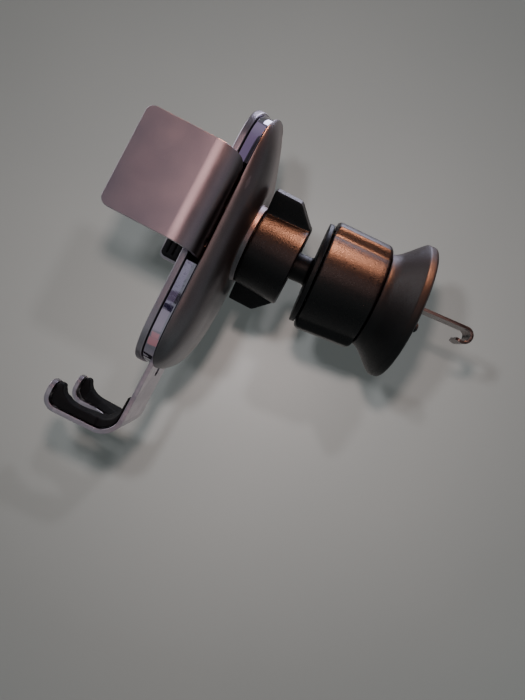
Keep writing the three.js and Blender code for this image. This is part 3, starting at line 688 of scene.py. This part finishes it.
def foot_pad():
    """Rubber lining of the foot: an even layer on the prongs and a big fillet in the bend."""
    back, floor, tip = FOOT_BACK - PAD_LAYER, FOOT_BOTTOM + PAD_LAYER, FOOT_TIP_Y + PAD_LAYER
    top = floor + PAD_FLOOR_THICK
    section = fillet([
        (back, PAD_TOP, 0), (back, floor, 5.7), (tip, floor, 5.5), (tip, PAD_TIP_TOP, 0.8),
        (tip + 2.0, PAD_TIP_TOP, 1.0), (tip + 2.9, -73.6, 4), (tip + 6.2, top + 0.3, 6),
        (tip + 10, top, 6), (back - 0.7, top, 10.1), (back - 0.6, PAD_TOP, 0),
    ], 10)
    pad = slab("foot_pad_hd", section, -25, 25, "x")
    tools = []
    for side in (-1, 1):
        tools.append(slab("tool", [(side * x, z) for x, z in PAD_BESIDE], -2, 12, "y"))
        tools.append(slab("tool", [(side * x, y) for x, y in PAD_BELOW], -95, -60, "z"))
        for corner in (PAD_OUTER_CORNER, PAD_INNER_CORNER):
            tools.append(slab("tool", [(side * x, z) for x, z in corner], -30, -14.5, "y"))
    tools.append(slab("tool", fillet(PAD_GAP), -95, -60, "z"))
    combine(pad, tools)
    melt(pad, 0.3, 7)
    return pad


def melt(piece, voxel, rounds):
    """Rebuilds the skin on an even grid and relaxes it, so that every edge is softly rounded."""
    remesh = piece.modifiers.new("remesh", "REMESH")
    remesh.mode = "VOXEL"
    remesh.voxel_size = voxel * MM
    relax = piece.modifiers.new("relax", "SMOOTH")
    relax.factor = 0.5
    relax.iterations = rounds
    apply_modifiers(piece)
    piece.data.polygons.foreach_set("use_smooth", [True] * len(piece.data.polygons))


# ---- ball joint ----

def nut_radius(degrees, y):
    """Outer radius of the clamp nut: a gently tapered barrel with two flat wings."""
    barrel = lerp(NUT_FRONT_R, NUT_BACK_R, (y - NUT_FRONT) / (NUT_BACK - NUT_FRONT))
    slope = (WING_SLOPE_START - WING_SLOPE_END) / (NUT_BACK - WING_FLAT_Y)
    crest = soft_min(WING_R, WING_SLOPE_START - (y - WING_FLAT_Y) * slope, 0.8)
    off = math.radians(abs((degrees - WING_TURN + 270) % 180 - 90))
    if off > math.radians(60):
        return barrel
    side = WING_HALF / max(math.sin(off), 1e-4)
    wing = soft_min(side, crest / math.cos(off), 1.7)
    return soft_max(barrel, wing, 1.6)


def clamp_nut():
    angles = []
    for start in (WING_TURN, WING_TURN + 180):
        angles += [start - 14 + 0.35 * i for i in range(80)]
        angles += [start + 14 + 2.53 * i for i in range(60)]
    rings = []

    def circle(radius, y):
        rings.append([polar(radius, degrees, y) for degrees in angles])

    def skin(y, inset):
        rings.append([polar(nut_radius(degrees, y) - inset, degrees, y) for degrees in angles])

    circle(NUT_BORE_R, NUT_FRONT + 0.3)
    circle(NUT_BORE_R + 0.3, NUT_FRONT)
    for inset, y in arc(0.6, 0.6, 0.6, 270, 180, 4):
        skin(NUT_FRONT + y, inset)
    for i in range(1, 28):
        skin(lerp(NUT_FRONT + 0.6, NUT_BACK - 0.7, i / 28), 0)
    for inset, y in arc(0.7, 0.7, 0.7, 180, 270, 4):
        skin(NUT_BACK - y, inset)
    for radius, y in fillet(NUT_MOUTH, 5)[1:-1]:
        circle(radius, y)
    circle(NUT_BORE_R, 26.8)
    return shade(surface("clamp_nut_hd", rings, loop=True), 40, weighted=False)


def ball_stud():
    neck_start = 90 - math.degrees(math.asin(NECK_R / BALL_R))
    ball = arc(0, 0, BALL_R, -90, neck_start, 36)
    ball[0] = (0, ball[0][1])
    rest = fillet([
        (ball[-1][0], ball[-1][1], 0), (NECK_R, DISC_FRONT, 1.3),
        (DISC_R, DISC_FRONT, 0.5), (DISC_R, DISC_BACK, 0.5), (STEM_R, DISC_BACK, 0.3),
        (STEM_R, STEM_BACK, 0.6), (0, STEM_BACK, 0),
    ], 6)
    stud = turned("ball_stud_hd", ball + rest[1:])
    combine(stud, [block(-10, 10, STEM_FLAT_FROM, STEM_BACK + 1, STEM_FLAT_Z, 10)])
    return on_clip(shade(stud, 35, weighted=False))


# ---- vent clip ----

def lobe_share(degrees):
    off = abs((degrees - LOBE_TURN + 270) % 180 - 90)
    return 1 - smoothstep(off, LOBE_HALF - LOBE_BLEND, LOBE_HALF + LOBE_BLEND)


def knob():
    angles = [i * 1.25 for i in range(288)]
    rings = []

    def circle(radius, y):
        rings.append([polar(radius, degrees, y) for degrees in angles])

    def skin(share, turn, at_back):
        """A ring of the outside: share of the length, or the rounded corner at one end."""
        ring = []
        for degrees in angles:
            lobe = lobe_share(degrees)
            corner = KNOB_ROUND + LOBE_ROUND * lobe
            depth = corner * (1 - math.cos(math.radians(turn)))
            inset = corner * (1 - math.sin(math.radians(turn)))
            low, high = KNOB_FRONT + corner, KNOB_BACK - corner
            y = lerp(low, high, share)
            if turn < 90:
                y = high + corner - depth if at_back else low - corner + depth
            base = lerp(KNOB_FRONT_R, KNOB_BACK_R, (y - KNOB_FRONT) / (KNOB_BACK - KNOB_FRONT))
            ring.append(polar(base + LOBE * lobe - inset, degrees, y))
        rings.append(ring)

    circle(KNOB_BORE_R, KNOB_FRONT + 0.3)
    circle(KNOB_BORE_R + 0.3, KNOB_FRONT)
    circle(KNOB_FACE_R, KNOB_FRONT)
    for i in range(7):
        skin(0, i * 15, False)
    for i in range(1, 14):
        skin(i / 14, 90, False)
    for i in range(7):
        skin(1, 90 - i * 15, True)
    circle(KNOB_FACE_R, KNOB_BACK)
    circle(KNOB_BORE_R + 0.3, KNOB_BACK)
    circle(KNOB_BORE_R, KNOB_BACK - 0.3)
    return on_clip(shade(surface("knob_hd", rings, loop=True), 45, weighted=False))


def flared_base():
    outside = curve_through(FLARE, 60, closed=False)
    inside = fillet(FLARE_INSIDE, 5)
    base = turned("flared_base_hd", outside[1:] + inside[1:-1], 160, loop=True)
    return on_clip(shade(base, 40, weighted=False))


def face_nub(side, name):
    start = FACE_Y + NUB_GAP
    profile = [(0, start), (NUB_R, start), (NUB_R, start + NUB_SIDE)]
    for degrees in range(15, 91, 15):
        angle = math.radians(degrees)
        crown = (NUB_HEIGHT - NUB_SIDE) * math.sin(angle)
        profile.append((NUB_R * math.cos(angle), start + NUB_SIDE + crown))
    profile[-1] = (0, start + NUB_HEIGHT)
    nub = turned(name, profile, 40)
    nub.data.transform(Matrix.Translation((side * NUB_X * MM, 0, NUB_Z * MM)))
    return on_clip(shade(nub, 45, weighted=False))


def hook_strip():
    """Spring-steel strip, curled into a hook past the flared base."""
    center_y, center_z = HOOK_END - HOOK_CURL_R, HOOK_TOP - HOOK_CURL_R
    curl = arc(center_y, center_z, HOOK_CURL_R, 90, -100, 36)
    tail = (HOOK_END - HOOK_CURL_R - HOOK_BACK, curl[-1][1] + 0.5, 0)
    corners = [(HOOK_START, HOOK_TOP, 0)] + [(y, z, 0) for y, z in curl] + [tail]
    path = BendPath(corners)
    total = path.lengths[-1]
    half = HOOK_WIDTH / 2
    pattern = fillet([
        (0, -half, 0.8), (total, -half, 1.2), (total, half, 1.2), (0, half, 0.8),
    ])
    holes = [arc(y - HOOK_START, 0, 0.95, 0, 350, 35) for y in HOOK_RIVETS]
    strip = bent_sheet(
        "hook_strip_hd", pattern, holes, HOOK_THICK, path, lambda a, b, w: (w, a, b), 0.16
    )
    return on_clip(strip)


# ---- materials ----

class Graph:
    """Short names for building a material's nodes."""

    def __init__(self, name):
        self.material = bpy.data.materials.new(name)
        self.material.use_nodes = True
        self.tree = self.material.node_tree
        self.shader = self.tree.nodes["Principled BSDF"]
        self.place = self.add("ShaderNodeTexCoord").outputs["Object"]

    def add(self, kind, **settings):
        node = self.tree.nodes.new(kind)
        for key, value in settings.items():
            setattr(node, key, value)
        return node

    def link(self, out, socket):
        self.tree.links.new(out, socket)

    def noise(self, scale, detail=3.0, stretch=None, rough=0.55):
        node = self.add("ShaderNodeTexNoise")
        node.inputs["Scale"].default_value = scale
        node.inputs["Detail"].default_value = detail
        node.inputs["Roughness"].default_value = rough
        place = self.place
        if stretch:
            mapping = self.add("ShaderNodeMapping")
            mapping.inputs["Scale"].default_value = stretch
            self.link(place, mapping.inputs["Vector"])
            place = mapping.outputs["Vector"]
        self.link(place, node.inputs["Vector"])
        return node.outputs["Fac"]

    def span(self, value, from_low, from_high, to_low, to_high):
        node = self.add("ShaderNodeMapRange")
        node.inputs["From Min"].default_value = from_low
        node.inputs["From Max"].default_value = from_high
        node.inputs["To Min"].default_value = to_low
        node.inputs["To Max"].default_value = to_high
        self.link(value, node.inputs["Value"])
        return node.outputs["Result"]

    def blend(self, share, first, second):
        """Mix of two colours. Each is a colour or another node's output."""
        node = self.add("ShaderNodeMix", data_type="RGBA")
        self.link(share, node.inputs["Factor"])
        for value, socket in ((first, node.inputs["A"]), (second, node.inputs["B"])):
            if isinstance(value, tuple):
                socket.default_value = (*value, 1)
            else:
                self.link(value, socket)
        return node.outputs["Result"]

    def math(self, operation, first, second):
        node = self.add("ShaderNodeMath", operation=operation)
        for value, socket in ((first, node.inputs[0]), (second, node.inputs[1])):
            if isinstance(value, (int, float)):
                socket.default_value = value
            else:
                self.link(value, socket)
        return node.outputs["Value"]

    def bump(self, height, strength, distance, under=None):
        node = self.add("ShaderNodeBump")
        node.inputs["Strength"].default_value = strength
        node.inputs["Distance"].default_value = distance
        self.link(height, node.inputs["Height"])
        if under:
            self.link(under, node.inputs["Normal"])
        return node.outputs["Normal"]

    def edges(self, low, high):
        """0 on flat and hollow places, rising to 1 on sharp outer edges."""
        geometry = self.add("ShaderNodeNewGeometry")
        return self.span(geometry.outputs["Pointiness"], low, high, 0, 1)


def satin_aluminium(name, deep, bright, edge, roughness, root=None):
    """Bead-blasted, anodised sheet: fine grain, slight clouding, brighter worn edges. With root,
    painted shade darkens it almost to black up to the first distance from the middle and ends at
    the second."""
    g = Graph(name)
    cloud = g.span(g.noise(38, 4), 0.35, 0.65, 0, 1)
    grain = g.noise(5200, 2)
    color = g.blend(cloud, deep, bright)
    speck = g.span(grain, 0.35, 0.7, 0, 0.35)
    color = g.blend(speck, color, edge)
    wear = g.math("MULTIPLY", g.edges(0.515, 0.56), g.span(g.noise(420, 3), 0.3, 0.7, 0.35, 1))
    color = g.blend(wear, color, edge)
    if root:
        # Painted shade: the arm's root turns near black towards the middle.
        split = g.add("ShaderNodeSeparateXYZ")
        g.link(g.place, split.inputs["Vector"])
        reach = g.math("ABSOLUTE", split.outputs["X"], 0)
        root_shade_mask = g.span(reach, root[0] * MM, root[1] * MM, 0.9, 0)
        color = g.blend(root_shade_mask, color, ROOT_SHADE_COLOR)
    g.link(color, g.shader.inputs["Base Color"])
    smudge = g.span(g.noise(90, 5), 0.3, 0.7, roughness - 0.03, roughness + 0.04)
    g.link(smudge, g.shader.inputs["Roughness"])
    g.link(g.bump(grain, 0.26, 0.00006), g.shader.inputs["Normal"])
    g.shader.inputs["Metallic"].default_value = 1.0
    return g.material


def mirror_band(name):
    """Polished, tinted metal with faint waviness, dust and fingerprints."""
    g = Graph(name)
    color = g.blend(g.span(g.noise(45, 3), 0.4, 0.6, 0, 1), (0.50, 0.45, 0.56), (0.60, 0.53, 0.64))
    g.link(color, g.shader.inputs["Base Color"])
    dust = g.span(g.noise(900, 5), 0.52, 0.75, 0.05, 0.15)
    g.link(dust, g.shader.inputs["Roughness"])
    g.link(g.bump(g.noise(110, 2), 0.05, 0.0009), g.shader.inputs["Normal"])
    g.shader.inputs["Metallic"].default_value = 1.0
    return g.material


def moulded_black(name, base, light, roughness, grain, depth):
    """Spark-eroded moulded plastic: a pebbled skin, slight sheen change and scuffed edges."""
    g = Graph(name)
    pebble = g.add("ShaderNodeTexVoronoi", feature="SMOOTH_F1")
    pebble.inputs["Scale"].default_value = grain
    g.link(g.place, pebble.inputs["Vector"])
    rough_skin = g.noise(grain * 1.4, 3)
    height = g.math("ADD", pebble.outputs["Distance"], rough_skin)
    cloud = g.span(g.noise(70, 4), 0.35, 0.65, 0, 1)
    color = g.blend(cloud, base, light)
    scuff = g.math("MULTIPLY", g.edges(0.52, 0.60), g.span(g.noise(260, 4), 0.4, 0.7, 0, 0.6))
    color = g.blend(scuff, color, tuple(min(1, c * 3.2) for c in light))
    g.link(color, g.shader.inputs["Base Color"])
    patch = g.span(g.noise(grain * 0.6, 4), 0.35, 0.65, roughness - 0.06, roughness + 0.09)
    g.link(patch, g.shader.inputs["Roughness"])
    g.link(g.bump(height, depth, 0.00006), g.shader.inputs["Normal"])
    g.shader.inputs["Specular IOR Level"].default_value = 0.35
    return g.material


def soft_rubber(name):
    """Matte silicone with a fine tooth and a little dust caught on it."""
    g = Graph(name)
    dust = g.span(g.noise(1100, 6, rough=0.7), 0.56, 0.74, 0, 0.5)
    color = g.blend(dust, (0.0045, 0.0042, 0.006), (0.014, 0.013, 0.016))
    g.link(color, g.shader.inputs["Base Color"])
    g.link(g.span(g.noise(160, 3), 0.3, 0.7, 0.58, 0.78), g.shader.inputs["Roughness"])
    g.link(g.bump(g.noise(2600, 3), 0.3, 0.00006), g.shader.inputs["Normal"])
    g.shader.inputs["Specular IOR Level"].default_value = 0.3
    return g.material


def brushed_steel(name, stretch):
    """Rolled strip or turned wire: fine lines one way and a few darker stains."""
    g = Graph(name)
    lines = g.noise(420, 4, stretch)
    stain = g.span(g.noise(130, 4), 0.55, 0.75, 0, 0.5)
    color = g.blend(g.span(lines, 0.3, 0.7, 0, 1), (0.11, 0.09, 0.087), (0.20, 0.17, 0.165))
    color = g.blend(stain, color, (0.07, 0.045, 0.04))
    g.link(color, g.shader.inputs["Base Color"])
    g.link(g.span(lines, 0.3, 0.7, 0.20, 0.40), g.shader.inputs["Roughness"])
    g.link(g.bump(lines, 0.12, 0.00005), g.shader.inputs["Normal"])
    g.shader.inputs["Metallic"].default_value = 1.0
    return g.material


def table_top():
    """Pale grey-green surface, close to plain, that glows a little away from the mount."""
    g = Graph("table_top")
    color = g.blend(g.span(g.noise(3, 3), 0.3, 0.7, 0, 1), (0.36, 0.375, 0.36), (0.39, 0.40, 0.38))
    g.link(color, g.shader.inputs["Base Color"])
    g.link(g.span(g.noise(9, 4), 0.3, 0.7, 0.42, 0.55), g.shader.inputs["Roughness"])
    away = g.add("ShaderNodeVectorMath", operation="LENGTH")
    g.link(g.place, away.inputs[0])
    glow = g.span(away.outputs["Value"], 0.35, 1.2, 0.02, 0.24)
    g.link(glow, g.shader.inputs["Emission Strength"])
    g.shader.inputs["Emission Color"].default_value = (0.86, 1.0, 0.98, 1)
    return g.material


def navy_card():
    """Dark card, unseen by the camera, that the polished band mirrors as a navy patch."""
    g = Graph("navy_card")
    g.shader.inputs["Base Color"].default_value = (0.008, 0.008, 0.02, 1)
    g.shader.inputs["Emission Color"].default_value = (0.10, 0.09, 0.40, 1)
    g.shader.inputs["Emission Strength"].default_value = 0.06
    return g.material


# ---- stage, lights and camera ----

def stage():
    """A pale wall behind the mount that curves forward into a floor, and the navy card."""
    section = fillet([
        (STAGE_BACK, STAGE_TOP, 0), (STAGE_BACK, STAGE_FLOOR, STAGE_CURVE),
        (STAGE_REACH, STAGE_FLOOR, 0),
    ], 24)
    points = [(x, -STAGE_REACH, z) for x, z in section]
    points += [(x, STAGE_REACH, z) for x, z in section]
    count = len(section)
    faces = [(k, k + 1, count + k + 1, count + k) for k in range(count - 1)]
    sweep = new_piece("backdrop", points, faces)
    sweep.data.polygons.foreach_set("use_smooth", [True] * len(sweep.data.polygons))
    sweep.data.materials.append(table_top())
    navy = block(*NAVY_BLOCK)
    navy.name = "navy_card"
    navy.data.materials.append(navy_card())
    navy.visible_camera = False
    return sweep


def area_light(name, place, target, size, power, color, receivers):
    lamp = bpy.data.lights.new(name, "AREA")
    lamp.shape = "RECTANGLE"
    lamp.size = size[0]
    lamp.size_y = size[1]
    lamp.energy = power
    lamp.color = color
    light = bpy.data.objects.new(name, lamp)
    light.location = place
    aim = Vector(target) - Vector(place)
    light.rotation_euler = aim.to_track_quat("-Z", "Y").to_euler()
    light.visible_camera = False
    light.light_linking.receiver_collection = receivers
    bpy.context.scene.collection.objects.link(light)


def receiver_set(name, members, state):
    """A collection that makes a light reach only its members, or everything but its members."""
    receivers = bpy.data.collections.new(name)
    for member in members:
        receivers.objects.link(member)
    for entry in receivers.collection_objects:
        entry.light_linking.link_state = state
    return receivers


def named(names):
    return [bpy.data.objects[name] for name in names]


def lights(backdrop):
    bands = named(["trim_band_upper_hd", "trim_band_lower_hd"])
    members = {
        "mount_only": ([backdrop], "EXCLUDE"),
        "satin_set": ([backdrop, *bands], "EXCLUDE"),
        "warm_set": ([backdrop, *bands, *named(COOL_PIECES)], "EXCLUDE"),
        "band_set": (bands, "INCLUDE"),
        "clip_set": (named(CLIP_PIECES), "INCLUDE"),
        "backdrop_only": ([backdrop], "INCLUDE"),
    }
    sets = {name: receiver_set(name, *value) for name, value in members.items()}
    for name, place, target, size, power, color, reached in LIGHTS:
        area_light(name, place, target, size, power, color, sets[reached])
    for i, (shift, power, color) in enumerate(KEY_LIGHTS):
        place = tuple(a + b for a, b in zip(CAMERA_PLACE, shift))
        area_light(f"key_{i}", place, KEY_TARGET, KEY_SIZE, power, color, sets["backdrop_only"])
    soft_room()


def soft_room():
    """Even light from all round, dimmer from the side that the near arm faces."""
    world = bpy.data.worlds.new("soft_room")
    bpy.context.scene.world = world
    world.use_nodes = True
    nodes, link = world.node_tree.nodes, world.node_tree.links.new
    split = nodes.new("ShaderNodeSeparateXYZ")
    dim = nodes.new("ShaderNodeMapRange")
    dim.inputs["From Min"].default_value = 0.35
    dim.inputs["From Max"].default_value = 0.92
    dim.inputs["To Min"].default_value = 0.32
    dim.inputs["To Max"].default_value = 0.07
    link(nodes.new("ShaderNodeTexCoord").outputs["Generated"], split.inputs["Vector"])
    link(split.outputs["X"], dim.inputs["Value"])
    background = nodes["Background"]
    background.inputs["Color"].default_value = (0.60, 0.58, 0.64, 1)
    link(dim.outputs["Result"], background.inputs["Strength"])


def camera():
    lens = bpy.data.cameras.new("camera")
    lens.lens = CAMERA_LENS
    lens.sensor_width = 36
    lens.clip_start = 0.005
    view = bpy.data.objects.new("camera", lens)
    roll = math.radians(CAMERA_ROLL)
    right = Vector((0, math.cos(roll), math.sin(roll)))
    up = Vector((0, -math.sin(roll), math.cos(roll)))
    turn = Matrix((right, up, Vector((1, 0, 0)))).transposed().to_4x4()
    view.matrix_world = Matrix.Translation(CAMERA_PLACE) @ turn
    bpy.context.scene.collection.objects.link(view)
    bpy.context.scene.camera = view


# ---- assembly ----

def finished(piece, material, body, slot, *nodes):
    """Gives a piece its material and says what it rides on and the nodes it shows. Its slot is not
    used.
    """
    piece.data.materials.clear()
    piece.data.materials.append(material)
    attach(piece, body)
    if nodes:
        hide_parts(*nodes)


def build():
    plate = satin_aluminium("satin_mauve", *MAUVE)
    shell = satin_aluminium("satin_gunmetal", *GUNMETAL)
    # The arms' metal carries painted shade on their roots.
    jaw = satin_aluminium("satin_mauve_jaw_painted_shade", *MAUVE, ROOT_SHADE)
    band = mirror_band("mirror_band")
    black = moulded_black("textured_black", (0.0012, 0.001, 0.0018), (0.0022, 0.0018, 0.0028),
                          0.32, 3000, 0.5)
    smooth_black = moulded_black("smooth_black", (0.0014, 0.0012, 0.002), (0.0024, 0.0021, 0.0032),
                                 0.42, 3000, 0.25)
    inner = moulded_black("inner_black", (0.006, 0.006, 0.007), (0.010, 0.010, 0.011),
                          0.5, 1500, 0.4)
    liner = moulded_black("liner", (0.05, 0.05, 0.055), (0.07, 0.07, 0.075), 0.5, 1200, 0.2)
    rubber = soft_rubber("soft_rubber")
    steel = brushed_steel("brushed_steel", (3, 0.12, 3))
    wire = brushed_steel("turned_steel", (1, 4, 1))

    finished(front_plate(), plate, "cradle", "plate", "front_plate")
    finished(rest_pad(), rubber, "cradle", "rubber")
    finished(trim_band("trim_band_upper_hd", True), band, "cradle", "band", "trim_band_upper")
    finished(trim_band("trim_band_lower_hd", False), band, "cradle", "band", "trim_band_lower")
    finished(back_shell(), shell, "cradle", "shell", "back_shell")
    for side, word in ((-1, "left"), (1, "right")):
        finished(arm(side, f"arm_{word}_hd"), jaw, f"{word}_jaw", "plate", f"arm_{word}")
        finished(arm_pad(side, f"arm_pad_{word}_hd"), rubber, f"{word}_jaw", "rubber",
                 f"arm_pad_{word}")
        # Black sheets in the arms' windows are painted shade for the dark open windows.
        for window in (0, 1):
            window_shade = arm_window_shade(side, window, f"arm_window_shade_{word}_{window + 1}")
            finished(window_shade, smooth_black, f"{word}_jaw", "inner")
        finished(face_nub(side, f"face_nub_{word}_hd"), rubber, "clip_base", "rubber",
                 f"face_nub_{word}")
    finished(foot_bracket(), plate, "foot", "plate", "foot_bracket")
    finished(foot_pad(), rubber, "foot", "rubber", "foot_pad")
    finished(clamp_nut(), black, "nut", "black", "clamp_nut")
    finished(ball_stud(), smooth_black, "hook_stud", "smooth_black", "ball_stud")
    finished(knob(), black, "clip_knob", "black", "knob")
    finished(flared_base(), smooth_black, "clip_base", "smooth_black", "flared_base")
    finished(hook_strip(), steel, "hook_stud", "steel", "hook_strip")

    carried = {
        inner: ["chassis", "ball_socket", "foot_slider"],
        smooth_black: ["thread_sleeve"],
        liner: ["rear_seat", "front_seat"],
        wire: ["guide_pin", "return_spring", "arm_pin_left", "arm_pin_right"]
        + [f"case_screw_{i}" for i in (1, 2, 3, 4)]
        + [f"{word}_rivet_{i}" for word in ("foot", "hook") for i in (1, 2)],
    }
    for material, names in carried.items():
        for name in names:
            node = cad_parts[name]
            for holder in node.material_slots:
                holder.material = material


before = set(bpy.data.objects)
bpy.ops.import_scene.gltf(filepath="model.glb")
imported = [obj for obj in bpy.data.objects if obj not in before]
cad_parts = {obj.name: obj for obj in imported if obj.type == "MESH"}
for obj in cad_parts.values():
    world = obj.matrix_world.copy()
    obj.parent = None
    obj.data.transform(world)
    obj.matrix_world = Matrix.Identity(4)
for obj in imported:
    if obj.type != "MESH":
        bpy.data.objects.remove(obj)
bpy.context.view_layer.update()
camera()
build()
lights(stage())
